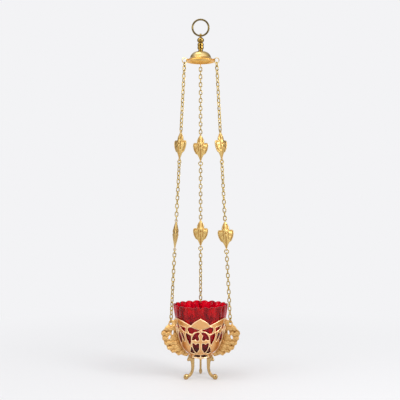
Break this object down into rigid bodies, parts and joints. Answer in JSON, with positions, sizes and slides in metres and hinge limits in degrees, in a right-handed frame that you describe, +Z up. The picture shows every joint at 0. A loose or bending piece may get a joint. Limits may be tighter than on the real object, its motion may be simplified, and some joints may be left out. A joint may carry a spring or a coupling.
{
  "type": "hanging oil lamp",
  "caption": "Hanging vigil oil lamp: red ribbed glass cup in an openwork gilt holder with scrolled brackets and feet, hung by leaf-set link chains from a domed cap, swivel and ring.",
  "frame": {"origin": "where the hook bears on the inner top of the hanging ring", "axes": "+Z up along the lamp's axis, +Y to the back through the bracket behind, +X to the right as seen from the front"},
  "size_m": [0.1136, 0.1052, 0.5218],
  "materials": {
    "polished_brass": "polished gilt",
    "cast_brass": "satin gilt casting with darker recesses",
    "chain_brass": "bright pale gilt wire",
    "red_glass": "clear ruby red, pressed with soft flutes and a scalloped rim",
    "cork": "natural cork",
    "cotton": "braided cotton"
  },
  "bodies": {
    "ring": {"hanging_ring": "polished_brass"},
    "swivel": {"swivel_head": "polished_brass", "swivel_nut": "polished_brass"},
    "cap": {"chain_cap": "polished_brass", "swivel_collar": "polished_brass"},
    "back_top_link": {"back_top_link": "chain_brass"},
    "left_top_link": {"left_top_link": "chain_brass"},
    "right_top_link": {"right_top_link": "chain_brass"},
    "back_chain": {"back_upper_chain": "chain_brass", "back_upper_ring": "chain_brass", "back_middle_chain": "chain_brass", "back_middle_ring": "chain_brass", "back_lower_chain": "chain_brass"},
    "left_chain": {"left_upper_chain": "chain_brass", "left_upper_ring": "chain_brass", "left_middle_chain": "chain_brass", "left_middle_ring": "chain_brass", "left_lower_chain": "chain_brass", "left_bottom_link": "chain_brass"},
    "right_chain": {"right_upper_chain": "chain_brass", "right_upper_ring": "chain_brass", "right_middle_chain": "chain_brass", "right_middle_ring": "chain_brass", "right_lower_chain": "chain_brass", "right_bottom_link": "chain_brass"},
    "back_upper_leaf": {"back_upper_leaf": "cast_brass"},
    "back_middle_leaf": {"back_middle_leaf": "cast_brass"},
    "left_upper_leaf": {"left_upper_leaf": "cast_brass"},
    "left_middle_leaf": {"left_middle_leaf": "cast_brass"},
    "right_upper_leaf": {"right_upper_leaf": "cast_brass"},
    "right_middle_leaf": {"right_middle_leaf": "cast_brass"},
    "back_bottom_link": {"back_bottom_link": "chain_brass"},
    "holder": {"openwork_holder": "cast_brass", "base_disc": "cast_brass", "base_screw": "polished_brass", "base_nut": "polished_brass", "back_bracket": "cast_brass", "back_leg": "cast_brass", "left_bracket": "cast_brass", "left_leg": "cast_brass", "right_bracket": "cast_brass", "right_leg": "cast_brass"},
    "glass": {"glass_cup": "red_glass"},
    "float": {"wick_float": "cork", "wick_tube": "polished_brass", "wick": "cotton"}
  },
  "joints": [
    {"name": "ring_tilt", "type": "hinge", "parent": "ring", "child": "swivel", "pos_m": [0, 0, -0.0224], "axis": [1, 0, 0], "range_deg": [-90, 90]},
    {"name": "swivel_turn", "type": "hinge", "parent": "swivel", "child": "cap", "pos_m": [0, 0, -0.035], "axis": [0, 0, 1], "continuous": true},
    {"name": "back_sway_front_back", "type": "hinge", "parent": "cap", "child": "back_top_link", "pos_m": [0, 0.0266, -0.06413], "axis": [1, 0, 0], "range_deg": [-5, 5]},
    {"name": "left_sway_front_back", "type": "hinge", "parent": "cap", "child": "left_top_link", "pos_m": [-0.02304, -0.0133, -0.06413], "axis": [1, 0, 0], "range_deg": [-5, 5]},
    {"name": "right_sway_front_back", "type": "hinge", "parent": "cap", "child": "right_top_link", "pos_m": [0.02304, -0.0133, -0.06413], "axis": [1, 0, 0], "range_deg": [-5, 5]},
    {"name": "back_sway_sideways", "type": "hinge", "parent": "back_top_link", "child": "back_chain", "pos_m": [0, 0.02691, -0.06931], "axis": [0, 1, 0], "range_deg": [-5, 5]},
    {"name": "left_sway_sideways", "type": "hinge", "parent": "left_top_link", "child": "left_chain", "pos_m": [-0.0233, -0.01345, -0.06931], "axis": [0, 1, 0], "range_deg": [-5, 5]},
    {"name": "right_sway_sideways", "type": "hinge", "parent": "right_top_link", "child": "right_chain", "pos_m": [0.0233, -0.01345, -0.06931], "axis": [0, 1, 0], "range_deg": [-5, 5]},
    {"name": "back_upper_leaf_turn", "type": "hinge", "parent": "back_chain", "child": "back_upper_leaf", "pos_m": [0, 0.03374, -0.18329], "axis": [0, -0.0598, 0.9982], "range_deg": [-25, 25]},
    {"name": "back_middle_leaf_turn", "type": "hinge", "parent": "back_chain", "child": "back_middle_leaf", "pos_m": [0, 0.04141, -0.31135], "axis": [0, -0.0598, 0.9982], "range_deg": [-25, 25]},
    {"name": "left_upper_leaf_turn", "type": "hinge", "parent": "left_chain", "child": "left_upper_leaf", "pos_m": [-0.02922, -0.01687, -0.18329], "axis": [0.0518, 0.0299, 0.9982], "range_deg": [-25, 25]},
    {"name": "left_middle_leaf_turn", "type": "hinge", "parent": "left_chain", "child": "left_middle_leaf", "pos_m": [-0.03586, -0.0207, -0.31135], "axis": [0.0518, 0.0299, 0.9982], "range_deg": [-25, 25]},
    {"name": "right_upper_leaf_turn", "type": "hinge", "parent": "right_chain", "child": "right_upper_leaf", "pos_m": [0.02922, -0.01687, -0.18329], "axis": [-0.0518, 0.0299, 0.9982], "range_deg": [-25, 25]},
    {"name": "right_middle_leaf_turn", "type": "hinge", "parent": "right_chain", "child": "right_middle_leaf", "pos_m": [0.03586, -0.0207, -0.31135], "axis": [-0.0518, 0.0299, 0.9982], "range_deg": [-25, 25]},
    {"name": "holder_tilt_sideways", "type": "hinge", "parent": "back_chain", "child": "back_bottom_link", "pos_m": [0, 0.0485, -0.42976], "axis": [0, 1, 0], "range_deg": [-2.8, 2.8]},
    {"name": "holder_tilt_front_back", "type": "hinge", "parent": "back_bottom_link", "child": "holder", "pos_m": [0, 0.0488, -0.4348], "axis": [1, 0, 0], "range_deg": [-2.8, 2.8]},
    {"name": "glass_lift", "type": "slide", "parent": "holder", "child": "glass", "axis": [0, 0, 1], "range_m": [0, 0.03]},
    {"name": "float_rise", "type": "slide", "parent": "glass", "child": "float", "axis": [0, 0, 1], "range_m": [0, 0.02]}
  ],
  "couplings": [
    {"joint": "left_sway_front_back", "follows": "back_sway_front_back", "ratio": 1},
    {"joint": "left_sway_sideways", "follows": "back_sway_sideways", "ratio": 1},
    {"joint": "right_sway_front_back", "follows": "back_sway_front_back", "ratio": 1},
    {"joint": "right_sway_sideways", "follows": "back_sway_sideways", "ratio": 1},
    {"joint": "holder_tilt_front_back", "follows": "back_sway_front_back", "ratio": -0.5451},
    {"joint": "holder_tilt_sideways", "follows": "back_sway_sideways", "ratio": -0.5514}
  ]
}
